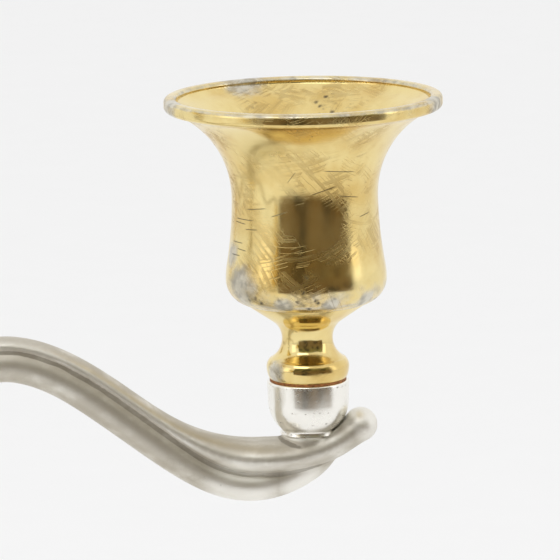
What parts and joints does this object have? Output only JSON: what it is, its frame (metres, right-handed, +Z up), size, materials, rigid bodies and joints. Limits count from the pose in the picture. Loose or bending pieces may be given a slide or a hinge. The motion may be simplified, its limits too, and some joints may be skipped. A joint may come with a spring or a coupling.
{
  "type": "candelabrum",
  "caption": "Candelabrum with serpentine silver-plated arms and gilt flared candle cups around a raised centre light, on a turned column and a round weighted base.",
  "frame": {"origin": "the middle of the felt's underside, on the surface that the candelabrum stands on", "axes": "+Z up along the column; +X along the east arm, whose tip points away from the column; +Y along the north arm"},
  "size_m": [0.2874, 0.2874, 0.3104],
  "materials": {
    "gilt": "polished gilt, scratched and worn",
    "silver_plate": "silver plate, lightly tarnished",
    "bare_brass": "bare turned brass",
    "steel": "zinc-plated steel",
    "iron": "rough casting",
    "fibre": "hard vulcanised fibre",
    "felt": "dark green felt"
  },
  "bodies": {
    "stand": {"felt_pad": "felt", "base_plate": "steel", "base_weight": "iron", "base_washer": "steel", "base_nut": "steel", "base_shell": "silver_plate", "base_collar": "silver_plate", "lower_knop": "gilt", "column_shaft": "silver_plate", "upper_knop": "gilt", "column_socket": "silver_plate", "tie_rod": "steel"},
    "seat_washer": {"seat_washer": "fibre"},
    "branches": {"branch_plug": "bare_brass", "branch_nut": "steel", "branch_rod": "steel", "hub": "silver_plate", "hub_cap": "gilt", "arm_nuts": "steel", "centre_stem": "silver_plate", "arm_east": "silver_plate", "arm_north": "silver_plate", "arm_west": "silver_plate", "arm_south": "silver_plate", "bowl_east": "silver_plate", "bowl_north": "silver_plate", "bowl_west": "silver_plate", "bowl_south": "silver_plate", "bowl_centre": "silver_plate"},
    "cup_washer_east": {"cup_washer_east": "fibre"},
    "cup_east": {"cup_shell_east": "gilt", "cup_foot_east": "gilt", "cup_stud_east": "bare_brass"},
    "cup_washer_north": {"cup_washer_north": "fibre"},
    "cup_north": {"cup_shell_north": "gilt", "cup_foot_north": "gilt", "cup_stud_north": "bare_brass"},
    "cup_washer_west": {"cup_washer_west": "fibre"},
    "cup_west": {"cup_shell_west": "gilt", "cup_foot_west": "gilt", "cup_stud_west": "bare_brass"},
    "cup_washer_south": {"cup_washer_south": "fibre"},
    "cup_south": {"cup_shell_south": "gilt", "cup_foot_south": "gilt", "cup_stud_south": "bare_brass"},
    "cup_washer_centre": {"cup_washer_centre": "fibre"},
    "cup_centre": {"cup_shell_centre": "gilt", "cup_foot_centre": "gilt", "cup_stud_centre": "bare_brass"}
  },
  "joints": [
    {"name": "branch_lift", "type": "slide", "parent": "stand", "child": "seat_washer", "axis": [0, 0, 1], "range_m": [0, 0.026]},
    {"name": "branch_swivel", "type": "hinge", "parent": "seat_washer", "child": "branches", "pos_m": [0, 0, 0.172], "axis": [0, 0, 1], "continuous": true},
    {"name": "cup_rise_east", "type": "slide", "parent": "branches", "child": "cup_washer_east", "axis": [0, 0, 1], "range_m": [0, 0.0064]},
    {"name": "cup_unscrew_east", "type": "hinge", "parent": "cup_washer_east", "child": "cup_east", "pos_m": [0.12, 0, 0.215], "axis": [0, 0, 1], "range_deg": [0, 2880]},
    {"name": "cup_rise_north", "type": "slide", "parent": "branches", "child": "cup_washer_north", "axis": [0, 0, 1], "range_m": [0, 0.0064]},
    {"name": "cup_unscrew_north", "type": "hinge", "parent": "cup_washer_north", "child": "cup_north", "pos_m": [0, 0.12, 0.215], "axis": [0, 0, 1], "range_deg": [0, 2880]},
    {"name": "cup_rise_west", "type": "slide", "parent": "branches", "child": "cup_washer_west", "axis": [0, 0, 1], "range_m": [0, 0.0064]},
    {"name": "cup_unscrew_west", "type": "hinge", "parent": "cup_washer_west", "child": "cup_west", "pos_m": [-0.12, 0, 0.215], "axis": [0, 0, 1], "range_deg": [0, 2880]},
    {"name": "cup_rise_south", "type": "slide", "parent": "branches", "child": "cup_washer_south", "axis": [0, 0, 1], "range_m": [0, 0.0064]},
    {"name": "cup_unscrew_south", "type": "hinge", "parent": "cup_washer_south", "child": "cup_south", "pos_m": [0, -0.12, 0.215], "axis": [0, 0, 1], "range_deg": [0, 2880]},
    {"name": "cup_rise_centre", "type": "slide", "parent": "branches", "child": "cup_washer_centre", "axis": [0, 0, 1], "range_m": [0, 0.0064]},
    {"name": "cup_unscrew_centre", "type": "hinge", "parent": "cup_washer_centre", "child": "cup_centre", "pos_m": [0, 0, 0.261], "axis": [0, 0, 1], "range_deg": [0, 2880]}
  ],
  "couplings": [
    {"joint": "cup_unscrew_east", "follows": "cup_rise_east", "rad_per_m": 7854},
    {"joint": "cup_unscrew_north", "follows": "cup_rise_north", "rad_per_m": 7854},
    {"joint": "cup_unscrew_west", "follows": "cup_rise_west", "rad_per_m": 7854},
    {"joint": "cup_unscrew_south", "follows": "cup_rise_south", "rad_per_m": 7854},
    {"joint": "cup_unscrew_centre", "follows": "cup_rise_centre", "rad_per_m": 7854}
  ]
}
